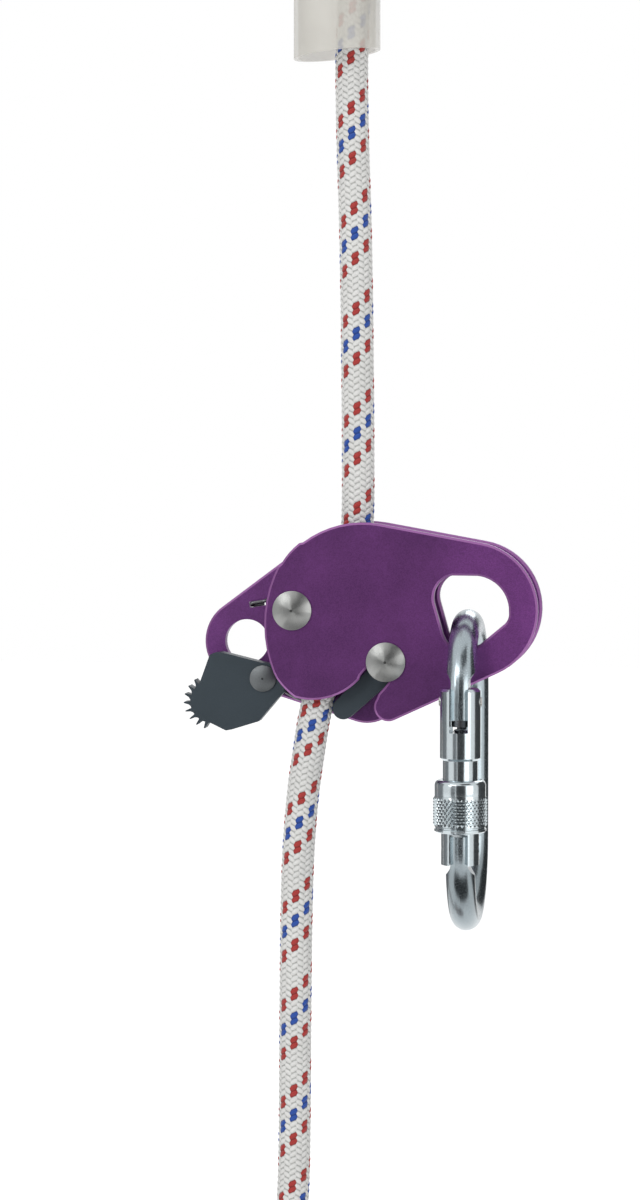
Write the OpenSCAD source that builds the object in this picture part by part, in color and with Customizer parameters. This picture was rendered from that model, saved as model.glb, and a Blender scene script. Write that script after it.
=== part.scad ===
/* [Rope] */
// Diameter of the kernmantle rope
rope_d = 11; // [9:0.5:12]
// Radius of the innermost turn of the stored coil
coil_inner_r = 43.3; // [38:0.1:50]
// Turns in each of the coil's four layers
turns_per_layer = 2.85; // [1.85:1:3.85]
// Free space between neighbouring turns of the coil
turn_gap = 0.6; // [0.5:0.1:2]
// Height of the coil's centre, below the anchor eye
coil_drop = 604; // [600:1:640]
// Length of the shrink cap on the rope's lower end
end_cap_length = 20; // [14:1:24]
// Width of each strap that ties the coil
tie_width = 16; // [10:1:22]
// Thickness of the tie straps
tie_wall = 1.6; // [1:0.1:3]

/* [Sewn eye] */
// Inner radius of the thimble
thimble_r = 13; // [10:0.5:15]
// Thickness of the thimble's wall
thimble_wall = 2; // [1.5:0.1:2.5]
// Height of the thimble's side flanges above its groove
flange_height = 4; // [2:0.5:5]
// Distance from the eye's centre down to the end of the stitched zone
stitch_end = 84; // [76:1:86]
// Number of stitch bars on each face
stitch_count = 9; // [5:1:10]
// Outer diameter of the clear sleeve over the stitches
sleeve_d = 28.6; // [27.6:0.2:32]
// Wall of the clear sleeve
sleeve_wall = 1.5; // [0.8:0.1:1.6]
// Height of the sleeve's lower end, below the anchor eye
sleeve_drop = 110; // [95:1:125]

/* [Rope grab] */
// Height of the grab's pivot, below the anchor eye
grab_drop = 293.4; // [293:0.1:294]
// Thickness of each side plate
plate_t = 4; // [3:0.25:5]
// Distance between the two side plates
plate_gap = 13.5; // [13:0.25:15]
// Bevel round the edges of the plates
plate_bevel = 0.7; // [0.3:0.1:1]
// Radius of the plates' right-hand lobe
lobe_r = 22.6; // [21:0.2:24]
// Radius of the rear plate's left-hand lobe
rear_lobe_r = 14.3; // [12:0.2:16]
// Radius of the tether hole in the rear plate
tether_r = 7.4; // [6:0.2:8]
// Radius of the two domed rivet heads
head_r = 6.5; // [5.5:0.1:7]
// Height of the domed rivet heads
head_h = 2.4; // [1.5:0.1:3]
// Radius of the two main rivets' shanks
shank_r = 4; // [3:0.1:4.2]
// Radius of the rope bollard round the pivot
bollard_r = 8.6; // [7.8:0.1:8.8]
// Radius of the pressure arm's nose
nose_r = 3.6; // [3:0.1:3.7]
// Thickness of the pressure arm
arm_t = 10; // [8:0.5:11]
// Thickness of the toothed cam
cam_t = 6; // [4:0.5:7]
// Number of teeth on the cam
tooth_count = 8; // [6:1:10]
// Depth of the cam's teeth
tooth_depth = 2.2; // [1:0.1:2.6]
// Radius of the cam rivet's shank
cam_pin_r = 2.5; // [2:0.1:3]
// Wire of the torsion spring
torsion_wire = 1.2; // [0.8:0.1:1.3]

/* [Connector] */
// Diameter of the connector's bar
bar_d = 9.5; // [8:0.5:10]
// Distance between the middles of the spine and the gate
connector_w = 48; // [46:1:54]
// Overall length of the connector
connector_l = 106.8; // [104:0.2:116]
// Diameter of the gate's upper tube
gate_d = 13.3; // [12.6:0.1:13.6]
// Diameter of the gate under the locking sleeve
gate_lower_d = 12.4; // [12:0.1:12.5]
// Diameter of the gate's neck
neck_d = 11.4; // [10.4:0.1:11.6]
// Diameter of the knurled part of the locking sleeve
knurl_d = 17.4; // [16:0.1:18.4]
// Length of the locking sleeve
lock_l = 17.1; // [15:0.1:18]
// Travel of the locking sleeve from open to locked
lock_travel = 8.7; // [7:0.1:9]
// Diameter of the hinge and latch pins
pin_d = 3; // [2.4:0.1:3.4]
// Thickness of the flat tangs at the hinge and the nose
tang_t = 5.7; // [5:0.1:6.5]

/* [Fits] */
// Radial clearance of every running fit
running = 0.06; // [0.03:0.01:0.1]
// Clearance of pieces that lie against each other
seat = 0.3; // [0.2:0.05:0.5]

/* [Hidden] */
$fn = 64;

purple = "#5d3268";
dark_steel = "#46535b";
satin_steel = "#b4b2ac";
bright_steel = "#c9d0d2";
rope_white = "#ecebe6";

// ---- points and outlines: every outline lies in the XZ plane and runs counter-clockwise seen from -Y ----

function unit(v) = v / norm(v);
function arc(c, r, a0, a1) =
    let (n = max(2, ceil(abs(a1 - a0) / 6)))
    [for (i = [0:n]) let (a = a0 + (a1 - a0) * i / n) c + r * [cos(a), sin(a)]];
// Leaves out each point that lies closer than 0.15 mm to the one before it.
function thinned(p) =
    [for (i = [0:len(p) - 1]) if (norm(p[i] - p[(i + len(p) - 1) % len(p)]) > 0.15) p[i]];
function edge_normal(p, i) =
    let (d = unit(p[(i + 1) % len(p)] - p[i % len(p)])) [-d[1], d[0]];
// Moves an outline inwards by c, or outwards when c is negative.
function inset(p, c) =
    [for (i = [0:len(p) - 1])
        let (n1 = edge_normal(p, i + len(p) - 1), n2 = edge_normal(p, i))
        p[i] + c * (n1 + n2) / (1 + n1 * n2)];

// Splits a counter-clockwise outline into triangles, corner by corner.
function turn(a, b, c) = (b[0] - a[0]) * (c[1] - a[1]) - (b[1] - a[1]) * (c[0] - a[0]);
function is_ear(p, a, b, c, rest) =
    turn(p[a], p[b], p[c]) > 1e-4 &&
    len([for (k = rest) if (k != a && k != b && k != c && turn(p[a], p[b], p[k]) >= 0 &&
                            turn(p[b], p[c], p[k]) >= 0 && turn(p[c], p[a], p[k]) >= 0) k]) == 0;
function first_ear(p, rest, i = 0) =
    let (n = len(rest))
    i == n - 1 || is_ear(p, rest[(i + n - 1) % n], rest[i], rest[(i + 1) % n], rest) ?
        i : first_ear(p, rest, i + 1);
function triangles(p, rest) =
    let (n = len(rest))
    n == 3 ? [rest] :
    let (i = first_ear(p, rest))
    concat([[rest[(i + n - 1) % n], rest[i], rest[(i + 1) % n]]],
           triangles(p, [for (k = [1:n - 1]) rest[(i + k) % n]]));

// A solid through outlines with the same number of points, each at its own depth y.
module lofted(layers, depths) {
    n = len(layers[0]);
    last = len(layers) - 1;
    polyhedron(
        points = [for (k = [0:last]) for (p = layers[k]) [p[0], depths[k], p[1]]],
        faces = concat(
            [for (t = triangles(layers[0], [for (i = [0:n - 1]) i])) [t[2], t[1], t[0]]],
            [for (t = triangles(layers[last], [for (i = [0:n - 1]) i])) [for (i = t) last * n + i]],
            [for (k = [0:last - 1]) for (i = [0:n - 1])
                let (j = (i + 1) % n) each [
                    [k * n + i, k * n + j, (k + 1) * n + j],
                    [k * n + i, (k + 1) * n + j, (k + 1) * n + i]]]));
}
module bevelled_plate(outline, y0, y1, bevel) {
    p = thinned(outline);
    lofted([inset(p, bevel), p, p, inset(p, bevel)], [y0, y0 + bevel, y1 - bevel, y1]);
}
module bevelled_hole(outline, y0, y1, bevel) {
    p = thinned(outline);
    over = 0.5;
    lofted([inset(p, -bevel - over), p, p, inset(p, -bevel - over)],
           [y0 - over, y0 + bevel, y1 - bevel, y1 + over]);
}
// Cylinder along Y from y0 to y1 at (x, z).
module post(at, r, y0, y1) {
    translate([at[0], y0, at[1]]) rotate([-90, 0, 0]) cylinder(r = r, h = y1 - y0);
}
// Flat bar with round ends along Y, from y0 to y1.
module link(a, ra, b, rb, y0, y1) {
    d = norm(b - a);
    along = (b - a) / d;
    across = [-along[1], along[0]];
    lean = (ra - rb) / d;
    side = sqrt(1 - lean * lean);
    post(a, ra, y0, y1);
    post(b, rb, y0, y1);
    corners = [a + ra * (lean * along - side * across), b + rb * (lean * along - side * across),
               b + rb * (lean * along + side * across), a + ra * (lean * along + side * across)];
    translate([0, y1, 0]) rotate([90, 0, 0]) linear_extrude(y1 - y0) polygon(corners);
}
// Domed rivet head whose flat side lies at y = y0; way is -1 or 1, the side that it stands on.
module dome(at, r, h, y0, way) {
    rim = 0.5;
    ball = (r * r + (h - rim) * (h - rim)) / (2 * (h - rim));
    intersection() {
        post(at, r, min(y0, y0 + way * h), max(y0, y0 + way * h));
        translate([at[0], y0 + way * (h - ball), at[1]]) sphere(r = ball, $fn = 96);
    }
}

// ---- tubes: one polyhedron swept along a list of points ----

function tangent(path, i) =
    unit(path[min(i + 1, len(path) - 1)] - path[max(i - 1, 0)]);
function ring(path, i, r, sides, up) =
    let (t = tangent(path, i), v = unit(up - t * (t * up)), u = cross(v, t))
    [for (k = [0:sides - 1]) let (a = 360 * (k + 0.5) / sides) path[i] + r * (cos(a) * u + sin(a) * v)];
module tube(path, r, sides, first = 0, end = -1, up = [0, 1, 0]) {
    last = end < 0 ? len(path) - 1 : end;
    count = last - first + 1;
    polyhedron(
        points = [for (i = [first:last]) each ring(path, i, r, sides, up)],
        faces = concat(
            [[for (k = [0:sides - 1]) k]],
            [[for (k = [sides - 1:-1:0]) (count - 1) * sides + k]],
            [for (i = [0:count - 2]) for (k = [0:sides - 1])
                let (m = (k + 1) % sides) each [
                    [i * sides + k, (i + 1) * sides + m, i * sides + m],
                    [i * sides + k, (i + 1) * sides + k, (i + 1) * sides + m]]]));
}
function path_length(path) =
    len(path) < 2 ? 0 : [for (i = [1:len(path) - 1]) norm(path[i] - path[i - 1])] *
                        [for (i = [1:len(path) - 1]) 1];

// ---- the rope's route, in X and Z below the eye, and in Y only where it meets the coil ----

rope_r = rope_d / 2;
groove_r = thimble_r + thimble_wall;
eye_r = groove_r + seat + rope_r;
eye_lean = 17;
tail_leg = [[-5.8, 0, -86], [-5.8, 0, -72], [-5.9, 0, -58], [-6.9, 0, -49], [-9.3, 0, -40.5],
            [-14.5, 0, -24]];
load_leg = [for (i = [len(tail_leg) - 1:-1:0]) [-tail_leg[i][0], 0, tail_leg[i][2]]];
eye_bow = [for (i = [0:14])
    let (a = 180 + eye_lean - i * (180 + 2 * eye_lean) / 14)
    eye_r * [cos(a), 0, sin(a)]];
eye_route = concat(tail_leg, eye_bow, load_leg);

upper_route = [[5.2, 0, -100], [4.9, 0, -116], [5.3, 0, -140], [6.1, 0, -165], [6.6, 0, -190],
               [6.9, 0, -215], [7.1, 0, -240], [7, 0, -262]];
grab_route = [[6.2, 0, -273], [4.1, 0, -283], [1.5, 0, -293], [-1.2, 0, -303], [-3.8, 0, -313],
              [-6.1, 0, -323]];
lower_route = [[-7.9, 0, -331], [-9.3, 0, -340], [-11.3, 0, -354], [-12.9, 0, -373], [-13.6, 0, -393],
               [-14, 0, -423], [-14.2, 0, -453], [-14.2, -2, -480]];

// The coil hangs below, straight under the rope, which bends into its outermost turn.
turn_step = rope_d + turn_gap;
coil_x = -14.2;
coil_outer_r = coil_inner_r + turns_per_layer * turn_step;
entry_r = 35;
entry_angle = acos(entry_r / (coil_outer_r + entry_r));
entry_z = -coil_drop + (coil_outer_r + entry_r) * sin(entry_angle);
front_layer_y = -1.5 * turn_step;
function eased(s) = let (c = min(1, max(0, s))) c * c * (3 - 2 * c);
entry_route = [for (i = [0:4])
    let (a = 180 + entry_angle * i / 5)
    [coil_x + entry_r + entry_r * cos(a), -5 + (front_layer_y + 5) * eased((i + 1) / 5.5),
     entry_z + entry_r * sin(a)]];

coil_layers = 4;
rings_per_turn = 24;
coil_turns = coil_layers * turns_per_layer;
coil_rings = floor(coil_turns * rings_per_turn);
// Radius swings in and out at a steady rate; each climb takes the half turn round a reversal.
function coil_radius(t) =
    let (s = t % (2 * turns_per_layer))
    coil_outer_r - turn_step * (s < turns_per_layer ? s : 2 * turns_per_layer - s);
function coil_climb(t) =
    [for (k = [1:coil_layers - 1]) eased((t - k * turns_per_layer + 0.25) / 0.5)] *
    [for (k = [1:coil_layers - 1]) turn_step];
function coil_point(t) =
    let (a = entry_angle - 360 * t)
    [coil_x + coil_radius(t) * cos(a), front_layer_y + coil_climb(t), -coil_drop + coil_radius(t) * sin(a)];
coil_route = [for (i = [0:coil_rings]) coil_point(i / rings_per_turn)];
coil_last = coil_route[len(coil_route) - 1];
coil_heading = unit(coil_last - coil_route[len(coil_route) - 2]);
tail_end_length = end_cap_length + rope_d;
tail_route = [coil_last + rope_d * coil_heading, coil_last + tail_end_length * coil_heading];

rope_route = concat(eye_route, upper_route, grab_route, lower_route, entry_route, coil_route, tail_route);
eye_end = len(eye_route) - 1;
upper_end = eye_end + len(upper_route);
grab_end = upper_end + len(grab_route);
lower_end = grab_end + len(lower_route) + len(entry_route);
rope_end = len(rope_route) - 1;
rope_sides = 12;
coil_sides = 6;

half_turn = rings_per_turn / 2;
coil_gap = min([for (i = [0:2:coil_rings - half_turn]) min([for (j = [i + half_turn:coil_rings])
                norm(coil_route[i] - coil_route[j])])]) - rope_d;
echo(rope_length_mm = path_length(rope_route), least_gap_in_coil_mm = coil_gap,
     coil_turns = coil_turns, coil_outer_mm = 2 * coil_outer_r + rope_d);

// ---- sewn eye ----

module eye_thimble() {
    flange_r = groove_r + flange_height;
    half_in = rope_r + seat;
    half_out = half_in + 1.2;
    leg_l = 27;
    // The legs' section is c smaller all round and starts 1 mm inside the bend.
    module section(c = 0) {
        polygon([[thimble_r + c, -half_out + c], [flange_r - c, -half_out + c], [flange_r - c, -half_in - c],
                 [groove_r - c, -half_in - c], [groove_r - c, half_in + c], [flange_r - c, half_in + c],
                 [flange_r - c, half_out - c], [thimble_r + c, half_out - c]]);
    }
    color(bright_steel) rotate([90, 0, 0]) {
        rotate([0, 0, -eye_lean]) rotate_extrude(angle = 180 + 2 * eye_lean, $fn = 96) section();
        for (side = [0, 1]) mirror([side, 0, 0])
            rotate([0, 0, -eye_lean]) translate([0, 1, 0]) rotate([90, 0, 0])
                linear_extrude(leg_l) section(0.06);
    }
}

module rope_eye() {
    color(rope_white) tube(rope_route, rope_r, rope_sides, 0, eye_end);
}

module eye_stitching() {
    bar_r = 0.6;
    bar_l = 15;
    first_z = -57;
    step = (stitch_end + first_z) / (stitch_count - 1);
    color("#d9d4c4") for (face = [-1, 1]) for (i = [0:stitch_count - 1])
        translate([0, face * (rope_r + bar_r + 0.1), first_z - i * step])
            rotate([0, (i % 2 == 0 ? 1 : -1) * 8 + 90, 0])
                translate([0, 0, -bar_l / 2]) cylinder(r = bar_r, h = bar_l, $fn = 16);
}

module clear_sleeve() {
    top = 49.5;
    cut_lean = 6.6;
    color([0.9, 0.9, 0.86, 0.6]) difference() {
        translate([0, 0, -sleeve_drop - 4]) cylinder(d = sleeve_d, h = sleeve_drop + 4 - top);
        translate([0, 0, -sleeve_drop - 6])
            cylinder(r = sleeve_d / 2 - sleeve_wall, h = sleeve_drop + 8 - top);
        translate([0, 0, -sleeve_drop]) rotate([0, -cut_lean, 0])
            translate([-30, -30, -12]) cube([60, 60, 12]);
    }
}

module rope_upper() {
    color(rope_white) tube(rope_route, rope_r, rope_sides, eye_end, upper_end);
}
module rope_in_grab() {
    color(rope_white) tube(rope_route, rope_r, rope_sides, upper_end, grab_end);
}
module rope_lower() {
    color(rope_white) tube(rope_route, rope_r, rope_sides, grab_end, lower_end);
}
module rope_coil() {
    color(rope_white) tube(rope_route, rope_r, coil_sides, lower_end, rope_end);
}

module rope_end_cap() {
    wall = 0.4;
    slip = 0.05;
    start = coil_last + (tail_end_length - end_cap_length) * coil_heading;
    lean = atan2(coil_heading[0], coil_heading[2]);
    color("#22252a") translate(start) rotate([0, lean, 0]) difference() {
        cylinder(r = rope_r + slip + wall, h = end_cap_length + 1);
        translate([0, 0, -1]) cylinder(r = rope_r + slip, h = end_cap_length + 1 + slip);
    }
}

module coil_ties() {
    mid_r = (coil_inner_r + coil_outer_r) / 2;
    bore_r = coil_inner_r - rope_r;
    sag = bore_r - sqrt(bore_r * bore_r - tie_width * tie_width / 4);
    in_r = (coil_outer_r - coil_inner_r + sag) / 2 + rope_r + seat;
    in_y = 1.5 * turn_step + rope_r + seat;
    corner = 5;
    module band(a, b, r) {
        for (u = [-1, 1]) for (v = [-1, 1])
            translate([u * (a - r), v * (b - r), 0]) cylinder(r = r, h = tie_width);
        translate([-a + r, -b, 0]) cube([2 * (a - r), 2 * b, tie_width]);
        translate([-a, -b + r, 0]) cube([2 * a, 2 * (b - r), tie_width]);
    }
    color("#2a2d33") for (at = [60, 180, 300])
        translate([coil_x, 0, -coil_drop]) rotate([0, -at, 0])
            translate([mid_r - sag / 2, 0, -tie_width / 2]) difference() {
                band(in_r + tie_wall, in_y + tie_wall, corner + tie_wall);
                translate([0, 0, -tie_width / 2]) scale([1, 1, 2]) band(in_r, in_y, corner);
            }
}

// ---- rope grab: outlines are measured from its pivot ----

grab_x = -13.5;
module at_grab() {
    translate([grab_x, 0, -grab_drop]) children();
}
pivot = [0, 0];
arm_pin = [31.2, -16.8];
cam_pin = [-11, -23.2];
tether = [-18, -11.4];
lobe = [58.7, 0.4];
eye_low = [57.3, -5];
eye_low_r = 7.6;
inner_y = plate_gap / 2;
outer_y = inner_y + plate_t;
slot_r = norm(arm_pin);
slot_half = shank_r + seat;
slot_end = atan2(arm_pin[1], arm_pin[0]);
right_side = arc(lobe, lobe_r, -65.2, 80);
eye_outline = concat(arc(eye_low, eye_low_r, -163, -43.5), arc([67.2, -0.6], 4.6, -43.5, 4),
                     arc([60.2, 0.3], 11.6, 6, 84), arc([54.5, 4.5], 7.5, 100, 197));

module rear_plate() {
    left_side = concat(arc([23.4, -3.7], 32.9, 80, 125), arc(tether, rear_lobe_r, 125.2, 253.6));
    foot = arc([22.5, -26], 12.6, -106.4, -65.2);
    color(purple) at_grab() difference() {
        bevelled_plate(concat(right_side, left_side, foot), inner_y, outer_y, plate_bevel);
        bevelled_hole(eye_outline, inner_y, outer_y, plate_bevel);
        post(tether, tether_r, inner_y - 1, outer_y + 1);
        post(pivot, shank_r + running, inner_y - 1, outer_y + 1);
        post(arm_pin, shank_r + running, inner_y - 1, outer_y + 1);
        post(cam_pin, cam_pin_r + running, inner_y - 1, outer_y + 1);
        translate([-14.4, inner_y - 1, 1.3]) rotate([0, -9, 0])
            translate([-2.8, 0, -1]) cube([5.6, plate_t + 2, 2]);
    }
}

module front_plate() {
    left_side = concat(arc([23.4, -3.7], 32.9, 80, 127), arc([17.4, 3], 24.5, 128, 149),
                       arc([33.3, -4.7], 42.7, 153, 202), arc([13.9, -9.7], 23.15, 214, 236),
                       arc([6.5, -8.2], 21.4, 255, 317));
    // The slot runs round the pivot from the plate's lower edge to the arm's rivet.
    slot = concat(arc(pivot, slot_r - slot_half, slot_end - 15, slot_end),
                  arc(arm_pin, slot_half, slot_end + 180, slot_end),
                  arc(pivot, slot_r + slot_half, slot_end, slot_end - 15.2));
    finger = arc([32, -31.7], 4.7, 145, 294.8);
    color(purple) at_grab() difference() {
        bevelled_plate(concat(slot, finger, right_side, left_side), -outer_y, -inner_y, plate_bevel);
        bevelled_hole(eye_outline, -outer_y, -inner_y, plate_bevel);
        post(pivot, shank_r + running, -outer_y - 1, -inner_y + 1);
    }
}

// A main rivet: domed heads on both sides, with a running gap under the front one.
module main_rivet(at) {
    front = -outer_y - 0.12;
    color(satin_steel) at_grab() {
        dome(at, head_r, head_h, front, -1);
        post(at, shank_r, front, outer_y);
        dome(at, head_r, head_h, outer_y, 1);
    }
}
module pivot_rivet() main_rivet(pivot);
module arm_rivet() main_rivet(arm_pin);

torsion_turns = 2.35;
torsion_pitch = torsion_wire + 0.2;
spring_room = torsion_turns * torsion_pitch + torsion_wire + 0.2;
module rope_bollard() {
    waist_r = bollard_r - torsion_wire - 0.2;
    face = inner_y - 0.1;
    color(satin_steel) at_grab() difference() {
        union() {
            post(pivot, bollard_r, -face, face - spring_room);
            post(pivot, waist_r, -face, face);
        }
        post(pivot, shank_r + running, -face - 1, face + 1);
    }
}

// Coil round the bollard's waist, one leg hooked in the rear plate's slot and one behind the cam's heel.
module torsion_spring() {
    steps = 40;
    coil_r = bollard_r - torsion_wire / 2 - 0.1;
    back_y = inner_y - torsion_wire / 2 - 0.1;
    front_y = back_y - torsion_turns * torsion_pitch;
    foot_y = cam_t / 2 + torsion_wire / 2 + seat;
    start = 116;
    hook = [[-16.1, back_y + 2.6, 0.9], [-15.8, back_y + 0.9, 1], [-15, back_y, 1.5],
            [-9, front_y + 0.8, 4.4]];
    wound = [for (i = [0:steps])
        let (t = torsion_turns * i / steps, a = start - 360 * t)
        [coil_r * cos(a), front_y + torsion_pitch * t, coil_r * sin(a)]];
    foot = [[6.6, back_y, -9], [5.4, back_y, -20], [3.8, back_y, -26.6], [2.2, back_y - 1, -29.4],
            [0.4, foot_y, -30.4], [-1.8, foot_y, -29.5], [-4.3, foot_y, -28.2]];
    color(satin_steel) at_grab() tube(concat(hook, wound, foot), torsion_wire / 2, 8);
}

arm_back = arm_t / 2 - 4;
module pressure_arm() {
    hub_r = 7.6;
    nose = [16.3, -32.8];
    heel = [28.6, -21.4];
    color(dark_steel) at_grab() difference() {
        union() {
            link(nose, nose_r, heel, 4, -arm_t / 2, arm_t / 2);
            post(arm_pin, hub_r, -arm_t / 2, arm_back);
        }
        post(arm_pin, shank_r + running, -arm_t, arm_t);
        post(arm_pin, hub_r + seat, arm_back, arm_t);
    }
}

// Closed coil behind the arm's hub, one leg behind the arm and one on the rear plate.
module arm_spring() {
    wire = 1.2;
    coil_r = shank_r + wire / 2 + 0.4;
    turns = 2.5;
    steps = 40;
    first_y = arm_back + wire / 2 + 0.2;
    pitch = wire + 0.15;
    wound = [for (i = [0:steps])
        let (t = turns * i / steps, a = 330 - 360 * t)
        [arm_pin[0] + coil_r * cos(a), first_y + pitch * t, arm_pin[1] + coil_r * sin(a)]];
    legs_out = [arm_pin[0] - 1, wound[steps][1] + 0.3, arm_pin[1] + coil_r + 4];
    color(satin_steel) at_grab()
        tube(concat([[arm_pin[0] + 1, first_y, arm_pin[1] - coil_r - 1.2]], wound, [legs_out]), wire / 2, 8);
}

module toothed_cam() {
    tip_r = 9.2;
    tooth_c = cam_pin + [-17.7, -8];
    first_tip = 127;
    tip_step = 129 / (tooth_count - 1);
    teeth = [for (i = [0:tooth_count - 1])
        let (a = first_tip + i * tip_step) each [
            tooth_c + (tip_r - tooth_depth) * [cos(a - 0.12 * tip_step), sin(a - 0.12 * tip_step)],
            tooth_c + tip_r * [cos(a - 0.06 * tip_step), sin(a - 0.06 * tip_step)],
            tooth_c + tip_r * [cos(a + 0.06 * tip_step), sin(a + 0.06 * tip_step)],
            tooth_c + (tip_r - 0.75 * tooth_depth) * [cos(a + 0.3 * tip_step), sin(a + 0.3 * tip_step)],
            tooth_c + (tip_r - tooth_depth) * [cos(a + 0.6 * tip_step), sin(a + 0.6 * tip_step)]]];
    body = [for (p = [[-12.6, -17.6], [-10.5, -17.2], [-1.5, -14.4], [4.8, -6.9],
                      [7, -4.6], [7.3, -3.2], [4.2, 4.2], [3.2, 4.9], [-0.45, 5.3], [-11.9, 8.1],
                      [-14.5, 8.6], [-16.8, 8.3], [-18.1, 7.6]]) cam_pin + p];
    color(dark_steel) at_grab() difference() {
        rotate([90, 0, 0]) linear_extrude(cam_t, center = true) polygon(concat(body, teeth));
        post(cam_pin, cam_pin_r + running, -cam_t, cam_t);
    }
}

cam_head_r = 4.4;
module cam_rivet() {
    front = -cam_t / 2 - 0.1;
    color("#7d8182") at_grab() {
        dome(cam_pin, cam_head_r, 1.5, front, -1);
        post(cam_pin, cam_pin_r, front, outer_y);
        dome(cam_pin, cam_head_r, 1.5, outer_y, 1);
    }
}
washer_t = 0.6;
module cam_spring_washer() {
    color(satin_steel) at_grab() difference() {
        post(cam_pin, cam_head_r, cam_t / 2 + 0.1, cam_t / 2 + 0.1 + washer_t);
        post(cam_pin, cam_pin_r + running, 0, inner_y);
    }
}
module cam_spacer() {
    color(dark_steel) at_grab() difference() {
        post(cam_pin, cam_head_r, cam_t / 2 + 0.1 + washer_t, inner_y);
        post(cam_pin, cam_pin_r + running, 0, inner_y + 1);
    }
}

// ---- connector: it lies in the YZ plane; heights are measured from its hinge pin ----

bar_r = bar_d / 2;
bend_r = connector_w / 2;
// Depth of the bar below its crest where it crosses a plate's outer edge.
crest_drop = bend_r - sqrt(bend_r * bend_r - outer_y * outer_y);
bar_lean = asin(outer_y / bend_r);
hang_z = -grab_drop + eye_low[1] - eye_low_r + seat + bar_r / cos(bar_lean) + crest_drop;
hinge_z = hang_z - bend_r;
straight_l = connector_l - connector_w - bar_d;
connector_x = grab_x + eye_low[0];
module at_connector() {
    translate([connector_x, 0, hinge_z]) children();
}
module at_gate() {
    at_connector() translate([0, -bend_r, 0]) children();
}
gate_top = 4.3;
tube_low = -19;
lock_top = -25.3;
lip_l = 2.1;
neck_low = lock_top - lip_l - lock_travel - 0.3;
gate_low = -straight_l - 3.7;
latch_z = -straight_l + 1.8;
nose_top = -straight_l + 5.6;
fork_top = nose_top + 0.9;
tang_low = -5.8;
slot_low = -9.8;
half_slot = tang_t / 2 + 0.2;

module bend(way) {
    rotate([0, 90, 0]) rotate([0, 0, way > 0 ? 90 : -90])
        rotate_extrude(angle = 180, $fn = 96) translate([bend_r, 0]) circle(r = bar_r);
}
module connector_body() {
    taper = 3.4;
    module side_cut() {
        polygon([[tang_t / 2, 6.3], [tang_t / 2 + 0.25, 7.4], [bar_r - 0.6, 9], [bar_r + 0.2, 6.3 + taper],
                 [bar_r + 6, 6.3 + taper], [bar_r + 6, gate_low - 0.3 - taper],
                 [bar_r + 0.2, gate_low - 0.3 - taper], [bar_r - 0.6, gate_low - 2.9],
                 [tang_t / 2 + 0.25, gate_low - 1.3], [tang_t / 2, gate_low - 0.3]]);
    }
    color(bright_steel) at_connector() difference() {
        union() {
            bend(1);
            translate([0, 0, -straight_l]) bend(-1);
            translate([0, bend_r, -straight_l]) cylinder(r = bar_r, h = straight_l);
            translate([0, -bend_r, tang_low]) cylinder(r = bar_r, h = -tang_low);
            translate([0, -bend_r, -straight_l]) cylinder(r = bar_r, h = nose_top + straight_l);
        }
        for (side = [0, 1]) mirror([side, 0, 0])
            translate([0, -bend_r + 12, 0]) rotate([90, 0, 0]) linear_extrude(24) side_cut();
        translate([-10, -bend_r, 0]) rotate([0, 90, 0]) cylinder(d = pin_d + 2 * running, h = 20);
        translate([-10, -bend_r, latch_z]) rotate([0, 90, 0]) cylinder(d = pin_d + 2 * seat, h = 20);
        translate([-10, -bend_r, latch_z - pin_d / 2 - seat]) cube([20, 12, pin_d + 1.1]);
    }
}

module gate() {
    bore_r = 2.5;
    color(bright_steel) at_gate() difference() {
        union() {
            translate([0, 0, tube_low + 0.8]) cylinder(d = gate_d, h = gate_top - tube_low - 1.6);
            translate([0, 0, gate_top - 0.8]) cylinder(d1 = gate_d, d2 = gate_d - 1.6, h = 0.8);
            translate([0, 0, tube_low]) cylinder(d1 = gate_d - 1.6, d2 = gate_d, h = 0.8);
            translate([0, 0, neck_low]) cylinder(d = neck_d, h = tube_low - neck_low);
            translate([0, 0, gate_low]) cylinder(d = gate_lower_d, h = neck_low - gate_low);
        }
        translate([-half_slot, -10, slot_low]) cube([2 * half_slot, 20, gate_top - slot_low + 1]);
        translate([0, 0, slot_low - 12]) cylinder(r = bore_r, h = 13);
        translate([-half_slot, -10, gate_low - 1]) cube([2 * half_slot, 20, fork_top - gate_low + 1]);
        for (z = [0, latch_z]) translate([-10, 0, z]) rotate([0, 90, 0])
            cylinder(d = pin_d + 2 * running, h = 20);
    }
}
module cross_pin(z, half_l) {
    color(satin_steel) at_gate() translate([-half_l, 0, z]) rotate([0, 90, 0])
        cylinder(d = pin_d, h = 2 * half_l);
}
module gate_hinge_pin() cross_pin(0, gate_d / 2 + 0.3);
module gate_latch_pin() cross_pin(latch_z, gate_lower_d / 2 - 0.35);

plunger_top = tang_low - 0.4;
plunger_head = 1.9;
module gate_plunger() {
    color(satin_steel) at_gate() {
        translate([0, 0, plunger_top - plunger_head]) cylinder(r = tang_t / 2, h = plunger_head);
        translate([0, 0, plunger_top - 8]) cylinder(r = 1.1, h = 8);
    }
}
module gate_spring() {
    wire_r = 0.35;
    turns = 8;
    low = slot_low - 11.8 + wire_r;
    high = plunger_top - plunger_head - 0.1 - wire_r;
    wound = [for (i = [0:turns * 8])
        let (a = 45 * i) [1.75 * cos(a), 1.75 * sin(a), low + (high - low) * i / (turns * 8)]];
    color(satin_steel) at_gate() tube(wound, wire_r, 6, up = [0, 0, 1]);
}

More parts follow.
